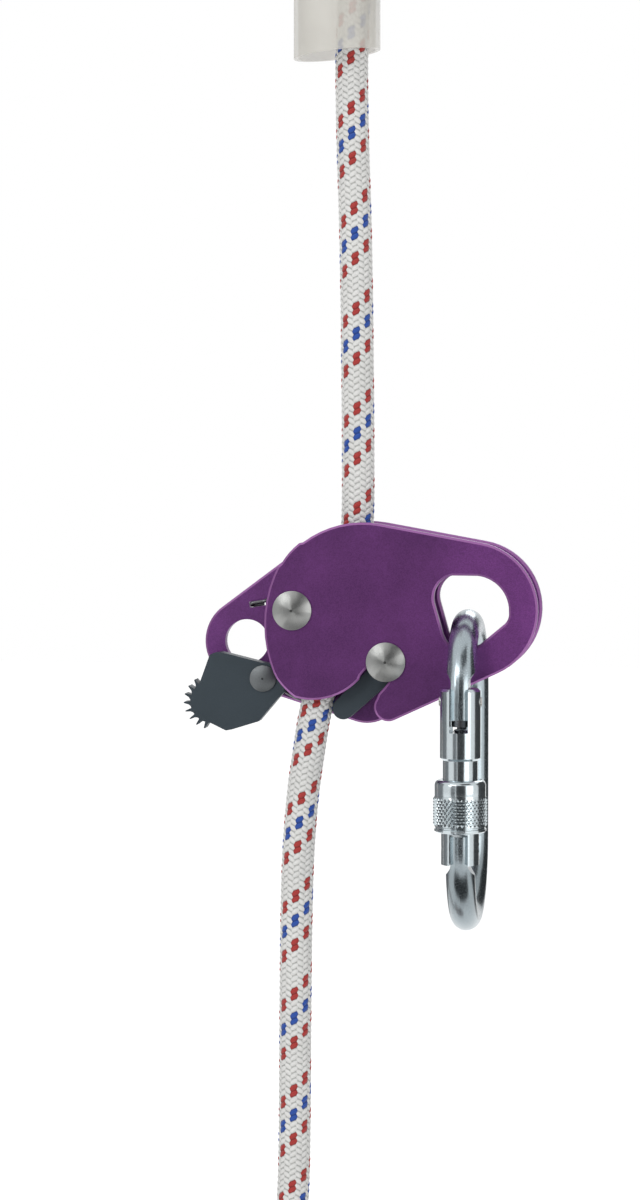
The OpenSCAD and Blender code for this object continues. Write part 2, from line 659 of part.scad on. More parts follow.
module locking_sleeve() {
    smooth_d = knurl_d - 1;
    smooth_l = 5.1;
    lip_d = knurl_d - 0.4;
    color(bright_steel) at_gate() translate([0, 0, lock_top - lock_l]) difference() {
        union() {
            cylinder(d1 = lip_d - 1, d2 = lip_d, h = 0.5);
            translate([0, 0, 0.5]) cylinder(d = lip_d, h = 0.7);
            translate([0, 0, 1.2]) cylinder(d = lip_d - 0.8, h = 0.5);
            translate([0, 0, 1.7]) cylinder(d = knurl_d, h = lock_l - smooth_l - 1.7);
            cylinder(d = smooth_d, h = lock_l - 1.2);
            translate([0, 0, lock_l - 1.2]) cylinder(d1 = smooth_d, d2 = smooth_d - 1.8, h = 1.2);
        }
        translate([0, 0, -1]) cylinder(d = gate_lower_d + 2 * running, h = lock_l - lip_l + 1);
        cylinder(d = neck_d + 2 * running, h = lock_l + 1);
    }
}

eye_thimble();
rope_eye();
eye_stitching();
clear_sleeve();
rope_upper();
rope_in_grab();
rope_lower();
rope_coil();
rope_end_cap();
coil_ties();
rear_plate();
front_plate();
pivot_rivet();
rope_bollard();
torsion_spring();
arm_rivet();
pressure_arm();
arm_spring();
toothed_cam();
cam_rivet();
cam_spacer();
cam_spring_washer();
connector_body();
gate();
gate_hinge_pin();
gate_latch_pin();
gate_plunger();
gate_spring();
locking_sleeve();
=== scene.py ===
import math

import bmesh
import bpy
import numpy as np
from mathutils import Matrix, Vector


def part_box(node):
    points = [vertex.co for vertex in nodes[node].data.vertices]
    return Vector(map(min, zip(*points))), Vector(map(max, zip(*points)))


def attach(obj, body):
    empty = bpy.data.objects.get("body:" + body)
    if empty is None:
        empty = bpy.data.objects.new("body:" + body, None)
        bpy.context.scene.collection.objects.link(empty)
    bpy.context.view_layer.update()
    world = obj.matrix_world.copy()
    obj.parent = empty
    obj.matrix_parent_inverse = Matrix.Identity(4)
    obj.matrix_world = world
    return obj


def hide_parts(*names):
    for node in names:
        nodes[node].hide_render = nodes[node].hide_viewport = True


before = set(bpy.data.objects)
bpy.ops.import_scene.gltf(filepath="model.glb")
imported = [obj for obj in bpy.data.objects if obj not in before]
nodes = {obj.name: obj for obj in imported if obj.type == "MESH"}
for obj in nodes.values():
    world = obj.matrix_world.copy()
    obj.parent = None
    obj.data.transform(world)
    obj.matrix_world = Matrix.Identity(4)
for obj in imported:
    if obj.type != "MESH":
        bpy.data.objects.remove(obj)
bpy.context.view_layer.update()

mm = 0.001
print("frame loaded")

# the camera is 1.1 m in front of the rope, a little to the right and above
cameraView = {"target": (-5.7, 0.0, -290.4), "distance": 1100, "azimuth": 8.2, "elevation": 3.0, "seenHeight": 400}

cameraData = bpy.data.cameras.new("camera")
camera = bpy.data.objects.new("camera", cameraData)
bpy.context.scene.collection.objects.link(camera)
bpy.context.scene.camera = camera
azimuth, elevation = math.radians(cameraView["azimuth"]), math.radians(cameraView["elevation"])
towardsCamera = Vector((math.sin(azimuth) * math.cos(elevation), -math.cos(azimuth) * math.cos(elevation),
                        math.sin(elevation)))
camera.location = (Vector(cameraView["target"]) + cameraView["distance"] * towardsCamera) * mm
camera.rotation_euler = towardsCamera.to_track_quat("Z", "Y").to_euler()
cameraData.sensor_fit = "VERTICAL"
cameraData.angle = 2 * math.atan(cameraView["seenHeight"] / 2 / cameraView["distance"])
cameraData.clip_start = 0.05
bpy.context.scene.view_settings.view_transform = "Standard"


def newMaterial(name, **sockets):
    material = bpy.data.materials.new(name)
    material.use_nodes = True
    tree = material.node_tree
    shader = tree.nodes["Principled BSDF"]
    for key, value in sockets.items():
        socket = shader.inputs[key.replace("_", " ")]
        socket.default_value = (*value, 1) if hasattr(value, "__len__") and len(value) == 3 else value
    return material, tree, shader


def addMath(tree, operation, first, second=None):
    node = tree.nodes.new("ShaderNodeMath")
    node.operation = operation
    for socket, value in zip(node.inputs, (first, second)):
        if value is None:
            continue
        if isinstance(value, (int, float)):
            socket.default_value = value
        else:
            tree.links.new(value, socket)
    return node.outputs[0]


def addMix(tree, factor, first, second):
    node = tree.nodes.new("ShaderNodeMix")
    node.data_type = "RGBA"
    for name, value in (("Factor", factor), ("A", first), ("B", second)):
        socket = next(s for s in node.inputs if s.name == name and s.enabled)
        if isinstance(value, tuple):
            socket.default_value = (*value, 1)
        elif isinstance(value, (int, float)):
            socket.default_value = value
        else:
            tree.links.new(value, socket)
    return next(s for s in node.outputs if s.enabled)


def addProduct(tree, first, second):
    node = tree.nodes.new("ShaderNodeMix")
    node.data_type, node.blend_type = "RGBA", "MULTIPLY"
    factor, one, two = [s for s in node.inputs if s.enabled]
    factor.default_value = 1.0
    tree.links.new(first, one)
    tree.links.new(second, two)
    return next(s for s in node.outputs if s.enabled)


def addNoise(tree, vector, scale, detail=3.0, roughness=0.55):
    node = tree.nodes.new("ShaderNodeTexNoise")
    node.inputs["Scale"].default_value = scale
    node.inputs["Detail"].default_value = detail
    node.inputs["Roughness"].default_value = roughness
    tree.links.new(vector, node.inputs["Vector"])
    return node.outputs[0]


def addRange(tree, value, low, high, toLow=0.0, toHigh=1.0):
    node = tree.nodes.new("ShaderNodeMapRange")
    node.interpolation_type = "SMOOTHSTEP"
    tree.links.new(value, node.inputs["Value"])
    for name, number in (("From Min", low), ("From Max", high), ("To Min", toLow), ("To Max", toHigh)):
        node.inputs[name].default_value = number
    return node.outputs[0]


def addBump(tree, shader, height, strength, distance):
    node = tree.nodes.new("ShaderNodeBump")
    node.inputs["Strength"].default_value = strength
    node.inputs["Distance"].default_value = distance
    tree.links.new(height, node.inputs["Height"])
    tree.links.new(node.outputs[0], shader.inputs["Normal"])


def objectPoint(tree, centre=(0, 0, 0), scale=(1, 1, 1)):
    coordinates = tree.nodes.new("ShaderNodeTexCoord")
    mapping = tree.nodes.new("ShaderNodeMapping")
    mapping.vector_type = "POINT"
    mapping.inputs["Location"].default_value = [-c * s for c, s in zip(centre, scale)]
    mapping.inputs["Scale"].default_value = scale
    tree.links.new(coordinates.outputs["Object"], mapping.inputs["Vector"])
    return mapping.outputs[0]


def split(tree, vector):
    node = tree.nodes.new("ShaderNodeSeparateXYZ")
    tree.links.new(vector, node.inputs[0])
    return node.outputs


def mapPlace(tree, uvName):
    node = tree.nodes.new("ShaderNodeUVMap")
    node.uv_map = uvName
    return split(tree, node.outputs[0])


# the sheath is sixteen columns of slanted stitches round the rope, with tracer yarns among them
sheath = {
    "columns": 16, "row": 2.056,  # stitches round the rope, and mm of rope in a row of them
    "roundAlong": 2.8, "roundAcross": 1.05, "flatten": 0.56,  # how a stitch falls off, and how level it lies
    "bite": 0.85, "tracerSwell": 0.22,  # how far a fuller stitch covers its neighbour
    "rowAtMark": 0.5, "markHeight": -129.05, "turn": 4.2,  # where the tracer pattern starts
    "redYarns": ((-0.5, 1.5), (7.5, 9.5)), "blueYarns": (3.5, 5.5),
    "white": (0.95, 0.945, 0.925), "red": (0.50, 0.05, 0.045), "blue": (0.03, 0.10, 0.46),
    # painted shade: this line's colour darkens the creases round each stitch, and its numbers set how far from a
    # stitch's middle that painted shade starts and ends
    "paintedCreaseShade": (0.48, 0.49, 0.475), "creaseStart": 0.18, "creaseEnd": 1.12, "creaseAlong": 3.6, "creaseAcross": 1.15,
    "overlap": 0.03, "yarnsPerStrand": 4, "yarnRise": 0.10, "fuzz": 1400, "fuzzRise": 0.15, "fuzzShade": 0.93,
    "soil": 60, "soilShade": 0.93, "bump": 0.95, "bumpDepth": 0.0005,
}


def stitchTops(column, row):
    # how high the strand on top stands, be it a right-hand or a left-hand one
    right = row + column
    left = row - column + 0.5
    acrossRight = (column / 2 - np.floor(column / 2 + 0.5)) * 2
    acrossLeft = ((column - 1) / 2 - np.floor((column - 1) / 2 + 0.5)) * 2
    right, left = right - sheath["flatten"] * acrossRight, left + sheath["flatten"] * acrossLeft
    alongRight, alongLeft = right - np.floor(right + 0.5), left - np.floor(left + 0.5)

    def crown(across, along):
        return (1 - sheath["roundAlong"] * along ** 2) * (1 - sheath["roundAcross"] * across ** 2)
    rightTop, leftTop = crown(acrossRight, alongRight), crown(acrossLeft, alongLeft)
    lead = (rightTop - leftTop) * sheath["bite"] + np.abs(acrossLeft) - np.abs(acrossRight)
    return np.where(lead > 0, rightTop, leftTop)


def ropeMaterial():
    material, tree, shader = newMaterial("ropeSheath", Roughness=0.78, Sheen_Weight=0.25, Sheen_Roughness=0.5,
                                         Specular_IOR_Level=0.3)
    column, row, _ = mapPlace(tree, "sheath")

    def nearest(value):
        return addMath(tree, "SUBTRACT", value, addMath(tree, "FLOOR", addMath(tree, "ADD", value, 0.5)))

    def crown(across, along):
        alongFall = addMath(tree, "MULTIPLY", addMath(tree, "MULTIPLY", along, along), sheath["roundAlong"])
        acrossFall = addMath(tree, "MULTIPLY", addMath(tree, "MULTIPLY", across, across), sheath["roundAcross"])
        return addMath(tree, "MULTIPLY", addMath(tree, "SUBTRACT", 1.0, alongFall),
                       addMath(tree, "SUBTRACT", 1.0, acrossFall))
    right = addMath(tree, "ADD", row, column)
    left = addMath(tree, "ADD", addMath(tree, "SUBTRACT", row, column), 0.5)
    acrossRight = addMath(tree, "MULTIPLY", nearest(addMath(tree, "MULTIPLY", column, 0.5)), 2.0)
    acrossLeft = addMath(tree, "MULTIPLY",
                         nearest(addMath(tree, "MULTIPLY", addMath(tree, "SUBTRACT", column, 1.0), 0.5)), 2.0)
    right = addMath(tree, "SUBTRACT", right, addMath(tree, "MULTIPLY", acrossRight, sheath["flatten"]))
    left = addMath(tree, "ADD", left, addMath(tree, "MULTIPLY", acrossLeft, sheath["flatten"]))
    alongRight, alongLeft = nearest(right), nearest(left)
    strand = addMath(tree, "FLOORED_MODULO", addMath(tree, "FLOOR", addMath(tree, "ADD", right, 0.5)),
                     sheath["columns"])

    def between(low, high):
        return addMath(tree, "MULTIPLY", addMath(tree, "GREATER_THAN", strand, low),
                       addMath(tree, "LESS_THAN", strand, high))
    redYarn = addMath(tree, "ADD", *[between(*span) for span in sheath["redYarns"]])
    blueYarn = between(*sheath["blueYarns"])
    rightTop, leftTop = crown(acrossRight, alongRight), crown(acrossLeft, alongLeft)
    lead = addMath(tree, "ADD", addMath(tree, "MULTIPLY", addMath(tree, "SUBTRACT", rightTop, leftTop),
                                        sheath["bite"]),
                   addMath(tree, "SUBTRACT", addMath(tree, "ABSOLUTE", acrossLeft),
                           addMath(tree, "ABSOLUTE", acrossRight)))
    lead = addMath(tree, "ADD", lead, addMath(tree, "MULTIPLY", addMath(tree, "ADD", redYarn, blueYarn),
                                              sheath["tracerSwell"]))
    onRight = addRange(tree, lead, -sheath["overlap"], sheath["overlap"])

    def onTop(rightValue, leftValue):
        return addMath(tree, "ADD", addMath(tree, "MULTIPLY", rightValue, onRight),
                       addMath(tree, "MULTIPLY", leftValue, addMath(tree, "SUBTRACT", 1.0, onRight)))
    top = onTop(rightTop, leftTop)
    alongTop, acrossTop = onTop(alongRight, alongLeft), onTop(acrossRight, acrossLeft)
    # painted shade in the creases: the mask grows from each stitch's middle towards its rim
    rim = addMath(tree, "ADD",
                  addMath(tree, "MULTIPLY", addMath(tree, "MULTIPLY", alongTop, alongTop), sheath["creaseAlong"]),
                  addMath(tree, "MULTIPLY", addMath(tree, "MULTIPLY", acrossTop, acrossTop), sheath["creaseAcross"]))
    paintedCreaseShade = addRange(tree, rim, sheath["creaseStart"], sheath["creaseEnd"])
    red, blue = addMath(tree, "MULTIPLY", redYarn, onRight), addMath(tree, "MULTIPLY", blueYarn, onRight)
    # fine yarns lie along each strand
    yarnWaves = 2 * math.pi * sheath["yarnsPerStrand"]
    yarnRight = addMath(tree, "SINE", addMath(tree, "MULTIPLY", right, yarnWaves))
    yarnLeft = addMath(tree, "SINE", addMath(tree, "MULTIPLY", left, yarnWaves))
    yarn = onTop(yarnRight, yarnLeft)
    fuzz = addNoise(tree, objectPoint(tree), sheath["fuzz"], 4, 0.7)
    soil = addNoise(tree, objectPoint(tree), sheath["soil"], 3)
    soiled = tuple(c * sheath["soilShade"] for c in sheath["white"])
    white = addMix(tree, addRange(tree, soil, 0.35, 0.75), sheath["white"], soiled)
    colour = addMix(tree, red, white, sheath["red"])
    colour = addMix(tree, blue, colour, sheath["blue"])
    shade = addMix(tree, addRange(tree, fuzz, 0.3, 0.7), (sheath["fuzzShade"],) * 3, (1.0, 1.0, 1.0))
    # painted shade: the colour is darkened between stitches, tracers included
    colour = addProduct(tree, addProduct(tree, colour, shade),
                        addMix(tree, paintedCreaseShade, (1.0, 1.0, 1.0), sheath["paintedCreaseShade"]))
    tree.links.new(colour, shader.inputs["Base Color"])
    height = addMath(tree, "ADD", top, addMath(tree, "ADD", addMath(tree, "MULTIPLY", yarn, sheath["yarnRise"]),
                                               addMath(tree, "MULTIPLY", fuzz, sheath["fuzzRise"])))
    addBump(tree, shader, height, sheath["bump"], sheath["bumpDepth"])
    return material


ropeFinish = ropeMaterial()

# the rope's route in mm, from the eye's tail leg down to the end in the coil
route = {"radius": 5.5, "grooveRadius": 15.3, "eyeLean": 17, "coilInner": 43.3, "turnsPerLayer": 2.85,
         "turnStep": 11.6, "layers": 4, "coilX": -14.2, "coilDrop": 604.0, "entryRadius": 35.0, "capLength": 20.0,
         "entryY": -5, "climbTurns": 0.5, "pointsPerTurn": 24, "entryPoints": 5, "eyePoints": 15, "pathStep": 4}
tailLeg = [(-5.8, -86), (-5.8, -72), (-5.9, -58), (-6.9, -49), (-9.3, -40.5), (-14.5, -24)]
upperRoute = [(5.2, -100), (4.9, -116), (5.3, -140), (6.1, -165), (6.6, -190), (6.9, -215), (7.1, -240), (7, -262)]
grabRoute = [(6.2, -273), (4.1, -283), (1.5, -293), (-1.2, -303), (-3.8, -313), (-6.1, -323)]
lowerRoute = [(-7.9, -331), (-9.3, -340), (-11.3, -354), (-12.9, -373), (-13.6, -393), (-14, -423), (-14.2, -453)]


def eased(share):
    share = min(1, max(0, share))
    return share * share * (3 - 2 * share)


def eyeRoute():
    radius = route["grooveRadius"] + route["radius"]
    leg = [(x, 0, z) for x, z in tailLeg]
    bow = []
    for i in range(route["eyePoints"]):
        angle = math.radians(180 + route["eyeLean"] - i * (180 + 2 * route["eyeLean"]) / (route["eyePoints"] - 1))
        bow.append((radius * math.cos(angle), 0, radius * math.sin(angle)))
    return leg + bow + [(-x, 0, z) for x, _, z in reversed(leg)]


def coilRoute():
    step, turns = route["turnStep"], route["turnsPerLayer"]
    outer = route["coilInner"] + turns * step
    bend, entryPoints = route["entryRadius"], route["entryPoints"]
    entryAngle = math.acos(bend / (outer + bend))
    entryHeight = -route["coilDrop"] + (outer + bend) * math.sin(entryAngle)
    frontY = -(route["layers"] - 1) / 2 * step
    points = []
    for i in range(entryPoints):
        angle = math.pi + entryAngle * i / entryPoints
        points.append((route["coilX"] + bend + bend * math.cos(angle),
                       route["entryY"] + (frontY - route["entryY"]) * eased((i + 1) / (entryPoints + 0.5)),
                       entryHeight + bend * math.sin(angle)))
    # a layer winds inwards and the next one outwards, and the rope climbs from one to the other in between
    for i in range(math.floor(route["layers"] * turns * route["pointsPerTurn"]) + 1):
        turn = i / route["pointsPerTurn"]
        swing = turn % (2 * turns)
        radius = outer - step * (swing if swing < turns else 2 * turns - swing)
        climb = step * sum(eased((turn - k * turns) / route["climbTurns"] + 0.5) for k in range(1, route["layers"]))
        angle = entryAngle - 2 * math.pi * turn
        points.append((route["coilX"] + radius * math.cos(angle), frontY + climb,
                       -route["coilDrop"] + radius * math.sin(angle)))
    last, heading = Vector(points[-1]), (Vector(points[-1]) - Vector(points[-2])).normalized()
    points.append(tuple(last + 2 * route["radius"] * heading))
    points.append(tuple(last + (route["capLength"] + 2 * route["radius"]) * heading))
    return points


pieces = [("ropeEye", eyeRoute()), ("ropeUpper", [(x, 0, z) for x, z in upperRoute]),
          ("ropeInGrab", [(x, 0, z) for x, z in grabRoute]),
          ("ropeLower", [(x, 0, z) for x, z in lowerRoute] + [(-14.2, -2, -480)]), ("ropeCoil", coilRoute())]
wholeRoute, lastPoint = [], {}
for name, points in pieces:
    wholeRoute += points
    lastPoint[name] = len(wholeRoute) - 1
lastPoint["ropeLower"] += route["entryPoints"]  # the bend into the coil belongs to the lower rope


def smoothLine(points, fine=8):
    # a curve through the points, and for each point its place along the curve
    p = np.array(points, float)
    padded = np.vstack([2 * p[0] - p[1], p, 2 * p[-1] - p[-2]])
    line = []
    for i in range(len(p) - 1):
        a, b, c, d = padded[i:i + 4]
        ta, tb = (c - a), (d - b)
        chord = np.linalg.norm(c - b)
        ta = ta / max(1e-9, np.linalg.norm(ta)) * chord
        tb = tb / max(1e-9, np.linalg.norm(tb)) * chord
        for k in range(fine):
            s = k / fine
            line.append((2 * s ** 3 - 3 * s ** 2 + 1) * b + (s ** 3 - 2 * s ** 2 + s) * ta
                        + (-2 * s ** 3 + 3 * s ** 2) * c + (s ** 3 - s ** 2) * tb)
    line.append(p[-1])
    line = np.array(line)
    along = np.concatenate([[0], np.cumsum(np.linalg.norm(np.diff(line, axis=0), axis=1))])
    return line, along, along[::fine]


ropeLine, ropeAlong, pointAlong = smoothLine(wholeRoute)
belowEye = ropeAlong >= pointAlong[lastPoint["ropeEye"]]
markIndex = int(np.argmin(np.where(belowEye, np.abs(ropeLine[:, 2] - sheath["markHeight"]), np.inf)))
markAlong = ropeAlong[markIndex]
print("rope", round(ropeAlong[-1]), "mm long")


def ropePiece(name, first, last, around, step, depth):
    count = max(2, int(round((last - first) / step)))
    places = np.linspace(first, last, count + 1)
    centres = np.stack([np.interp(places, ropeAlong, ropeLine[:, k]) for k in range(3)], 1)
    ahead = np.stack([np.interp(places + 0.5, ropeAlong, ropeLine[:, k]) for k in range(3)], 1)
    behind = np.stack([np.interp(places - 0.5, ropeAlong, ropeLine[:, k]) for k in range(3)], 1)
    tangent = ahead - behind
    tangent /= np.linalg.norm(tangent, axis=1)[:, None]
    up = np.array([0.0, 1.0, 0.0]) - tangent * tangent[:, 1:2]
    up /= np.linalg.norm(up, axis=1)[:, None]
    side = np.cross(up, tangent)
    angle = 2 * math.pi * np.arange(around) / around
    # columns are counted to the right from the front of the rope, rows along it
    toTheRight = (270 - np.degrees(angle) + 180) % 360 - 180
    column = (toTheRight - sheath["turn"]) / (360 / sheath["columns"])
    row = (places - markAlong) / sheath["row"] + sheath["rowAtMark"]
    columns, rows = np.meshgrid(column, row)
    radius = route["radius"] - depth * (1 - stitchTops(columns, rows))
    ring = (np.cos(angle)[None, :, None] * side[:, None, :] + np.sin(angle)[None, :, None] * up[:, None, :])
    points = centres[:, None, :] + radius[:, :, None] * ring
    mesh = bpy.data.meshes.new(name)
    index = np.arange((count + 1) * around).reshape(count + 1, around)
    after = np.roll(index, -1, axis=1)
    quads = np.stack([index[:-1], after[:-1], after[1:], index[1:]], -1).reshape(-1, 4)
    mesh.from_pydata((points.reshape(-1, 3) * mm).tolist(), [],
                     quads.tolist() + [index[0][::-1].tolist(), index[-1].tolist()])
    uv = mesh.uv_layers.new(name="sheath")
    angleStep = sheath["columns"] / around
    values = np.zeros((len(mesh.loops), 2), np.float32)
    quadRow = np.repeat(np.arange(count), around)
    quadSide = np.tile(np.arange(around), count)
    base = column[quadSide]
    corner = np.stack([base, base - angleStep, base - angleStep, base], 1)
    high = np.stack([row[quadRow], row[quadRow], row[quadRow + 1], row[quadRow + 1]], 1)
    values[:4 * len(quads), 0] = corner.reshape(-1)
    values[:4 * len(quads), 1] = high.reshape(-1)
    uv.data.foreach_set("uv", values.reshape(-1))
    mesh.polygons.foreach_set("use_smooth", [True] * len(mesh.polygons))
    mesh.materials.append(ropeFinish)
    mesh.update()
    piece = bpy.data.objects.new(name, mesh)
    bpy.context.scene.collection.objects.link(piece)
    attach(piece, "rope_line")
    path = centres[::max(1, int(route["pathStep"] / step))].tolist()
    if np.linalg.norm(np.array(path[-1]) - centres[-1]) > 1e-6:
        path.append(centres[-1].tolist())
    return piece, [[c * mm for c in point] for point in path], (last - first) * mm, centres[0] * mm


# piece, last stretch of its route, nodes it stands for, points round with mm between rings and crease depth, ends
ropeParts = [("ropeEye", "ropeEye", ["rope_eye"], (72, 0.5, 0.4), "object", "taut"),
             ("ropeUpper", "ropeInGrab", ["rope_upper", "rope_in_grab"], (96, 0.38, 0.6), "object", "taut"),
             ("ropeLower", "ropeLower", ["rope_lower"], (96, 0.38, 0.6), "object", "hanging"),
             ("ropeCoil", "ropeCoil", ["rope_coil"], (24, 1.3, 0.1), "bare", "coiled")]
begin = 0.0
for name, lastStretch, stoodFor, fineness, farEnd, lay in ropeParts:
    end = pointAlong[lastPoint[lastStretch]]
    piece, path, length, start = ropePiece(name, begin, end, *fineness)
    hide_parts(*stoodFor)
    begin = end
print("rope made")



def middle(node):
    low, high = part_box(node)
    return tuple((a + b) / 2 for a, b in zip(low, high))


def finishNode(node, material):
    target = nodes[node]
    if not target.material_slots:
        target.data.materials.append(material)
    for materialSlot in target.material_slots:
        materialSlot.material = material


def metalFinish(name, nodeNames, colour, roughness, metallic=1.0, grain=2600, grainDepth=0.000014, spread=0.08,
                centre=None, rings=0.0, dot=0.0, turned=0.0, rim=None, speckle=0.0, paintedLightFades=()):
    # rings, dot and turned gloss lie round the centre; a fade is painted light, an axis, where it starts and ends,
    # and the factor that lightens or darkens the colour along it
    material, tree, shader = newMaterial(name, Metallic=metallic)
    point = objectPoint(tree, centre or (0, 0, 0))
    fine = addNoise(tree, point, grain, 4, 0.65)
    broad = addNoise(tree, objectPoint(tree), 55, 3)
    tint = addRange(tree, broad, 0.3, 0.7)
    base = addMix(tree, tint, colour, tuple(min(1, c * (1 - spread)) for c in colour))
    if speckle:
        dark, light = (1 - speckle,) * 3, (1 + speckle,) * 3
        base = addProduct(tree, base, addMix(tree, addRange(tree, fine, 0.35, 0.65), dark, light))
    # painted light: each fade makes the colour lighter or darker along its axis
    for axis, start, end, factor in paintedLightFades:
        place = split(tree, objectPoint(tree))["XYZ".index(axis)]
        share = addRange(tree, place, start * mm, end * mm)
        base = addProduct(tree, base, addMix(tree, share, (1.0, 1.0, 1.0), (factor,) * 3))
    rough = addRange(tree, fine, 0.3, 0.7, roughness * 0.8, roughness * 1.25)
    tree.links.new(rough, shader.inputs["Roughness"])
    height = fine
    if rings or dot:
        x, _, z = split(tree, objectPoint(tree, centre))
        radius = addMath(tree, "SQRT", addMath(tree, "ADD", addMath(tree, "MULTIPLY", x, x),
                                               addMath(tree, "MULTIPLY", z, z)))
    if rings:
        wave = addMath(tree, "SINE", addMath(tree, "MULTIPLY", radius, 2 * math.pi / rings))
        height = addMath(tree, "ADD", addMath(tree, "MULTIPLY", wave, 0.6), fine)
    if dot:
        base = addMix(tree, addRange(tree, radius, dot * 0.7, dot * 1.2, 0.75, 0.0), base, (0.02, 0.02, 0.02))
    if turned:
        shader.inputs["Anisotropic"].default_value = turned
        outwards = tree.nodes.new("ShaderNodeVectorMath")
        outwards.operation = "NORMALIZE"
        tree.links.new(objectPoint(tree, centre, (1, 0, 1)), outwards.inputs[0])
        tree.links.new(outwards.outputs[0], shader.inputs["Tangent"])
    # painted highlight: faces that lean between the face and the side, the bevels, take the lighter rim colour
    if rim is not None:
        coordinates = tree.nodes.new("ShaderNodeTexCoord")
        _, facing, _ = split(tree, coordinates.outputs["Normal"])
        flat = addMath(tree, "ABSOLUTE", facing)
        edge = addMath(tree, "MULTIPLY", addRange(tree, flat, 0.97, 0.88), addRange(tree, flat, 0.25, 0.5))
        base = addMix(tree, edge, base, rim)
    tree.links.new(base, shader.inputs["Base Color"])
    addBump(tree, shader, height, 0.35, grainDepth)
    for node in nodeNames:
        finishNode(node, material)
    return material


def plasticFinish(name, colour, roughness, grain=500, depth=0.00005):
    material, tree, shader = newMaterial(name)
    fine = addNoise(tree, objectPoint(tree), grain, 4, 0.6)
    broad = addNoise(tree, objectPoint(tree), 70, 3)
    base = addMix(tree, addRange(tree, broad, 0.3, 0.7), colour, tuple(c * 0.8 for c in colour))
    tree.links.new(base, shader.inputs["Base Color"])
    tree.links.new(addRange(tree, fine, 0.3, 0.7, roughness * 0.85, roughness * 1.15), shader.inputs["Roughness"])
    addBump(tree, shader, fine, 0.4, depth)
    return material


milky = {"thin": (0.76, 0.74, 0.68), "thick": (0.84, 0.82, 0.76), "alpha": 0.44, "roughness": 0.28,
         "wrinkles": 160, "wrinkleDepth": 0.0004, "haze": 45}


def sleeveFinish():
    material, tree, shader = newMaterial("milkySleeve", Roughness=milky["roughness"], IOR=1.45, Alpha=milky["alpha"])
    wrinkle = addNoise(tree, objectPoint(tree, scale=(1, 1, 0.35)), milky["wrinkles"], 3, 0.5)
    haze = addNoise(tree, objectPoint(tree), milky["haze"], 3)
    base = addMix(tree, addRange(tree, haze, 0.3, 0.7), milky["thin"], milky["thick"])
    tree.links.new(base, shader.inputs["Base Color"])
    addBump(tree, shader, wrinkle, 0.3, milky["wrinkleDepth"])
    return material


plate = {"roughness": 0.36, "metallic": 0.5, "grain": 3200, "grainDepth": 0.000022, "spread": 0.2, "speckle": 0.16}
# painted light on the plates: lighter towards the right, darker towards the bottom, and a painted highlight on the
# bevels; the rear plate takes a lighter copy of the colour, painted to lift the shade it lies in behind the front
# plate
metalFinish("anodisedPlate", ["front_plate"], (0.160, 0.043, 0.200), rim=(0.36, 0.14, 0.39),
            paintedLightFades=(("X", 30, 56, 1.5), ("Z", -296, -334, 0.85)), **plate)
metalFinish("rearPlatePaintedLighter", ["rear_plate"], (0.210, 0.060, 0.265), rim=(0.33, 0.13, 0.36),
            paintedLightFades=(("X", 30, 56, 1.2), ("Z", -296, -334, 0.85)), **plate)
metalFinish("coatedSteel", ["pressure_arm", "toothed_cam", "cam_spacer"], (0.044, 0.061, 0.075), 0.48,
            metallic=0.35, grain=2200, grainDepth=0.00003)
metalFinish("stainless", ["rope_bollard", "gate_hinge_pin"], (0.60, 0.59, 0.565), 0.3)
wire = metalFinish("springWire", ["arm_spring", "cam_spring_washer", "gate_spring", "gate_latch_pin", "gate_plunger"],
                   (0.17, 0.17, 0.18), 0.32)
zinc = metalFinish("brightZinc", ["gate"], (0.55, 0.61, 0.635), 0.17, grainDepth=0.000012, spread=0.05)
# painted shade darkens the connector body below -368 mm, across its lower bend, and painted light brightens it again
# below -386 mm
metalFinish("bodyZinc", ["connector_body"], (0.395, 0.455, 0.485), 0.23, grainDepth=0.000006, spread=0.06,
            paintedLightFades=(("Z", -368, -380, 0.66), ("Z", -386, -398, 1.35)))
metalFinish("thimbleSteel", ["eye_thimble"], (0.62, 0.63, 0.64), 0.3)
rivet = {"colour": (0.375, 0.38, 0.37), "roughness": 0.33, "rings": 0.0004, "dot": 0.0005, "turned": 0.85,
         "grain": 5000, "grainDepth": 0.000005}
metalFinish("pivotRivet", ["pivot_rivet"], centre=middle("pivot_rivet"), **rivet)
metalFinish("armRivet", ["arm_rivet"], centre=middle("arm_rivet"), **rivet)
metalFinish("camRivet", ["cam_rivet"], (0.18, 0.192, 0.198), 0.5, centre=middle("cam_rivet"), rings=0.0011,
            dot=0.0004)
finishNode("clear_sleeve", sleeveFinish())
finishNode("rope_end_cap", plasticFinish("shrinkCap", (0.022, 0.024, 0.028), 0.45))
print("finishes set")


def clearSelection():
    for item in bpy.context.selected_objects:
        item.select_set(False)
    bpy.context.view_layer.objects.active = None


def joined(items, name):
    clearSelection()
    for item in items:
        item.select_set(True)
    bpy.context.view_layer.objects.active = items[0]
    bpy.ops.object.join()
    items[0].name = items[0].data.name = name
    return items[0]


def copied(item, matrix):
    twin = item.copy()
    twin.data = item.data.copy()
    twin.data.transform(matrix)
    bpy.context.scene.collection.objects.link(twin)
    return twin


# the locking sleeve: a ring drawn up along its outline, and one blunt point copied round its knurled band
lock = {"axis": (43.8, -24.0), "low": -364.25, "bore": 6.26, "neck": 5.77, "length": 17.1, "lipLength": 2.1,
        "around": 72, "smoothAngle": 38,
        "outline": [(7.9, 0.0), (8.45, 0.45), (8.5, 1.15), (8.1, 1.3), (8.1, 1.75), (8.45, 1.95), (8.45, 11.6),
                    (8.3, 11.9), (8.35, 12.3), (8.35, 15.6), (8.0, 16.5), (7.3, 17.0), (6.9, 17.1)]}
knurl = {"low": 1.95, "high": 11.65, "radius": 8.34, "around": 36, "rows": 5, "rise": 0.56, "flat": 0.12}


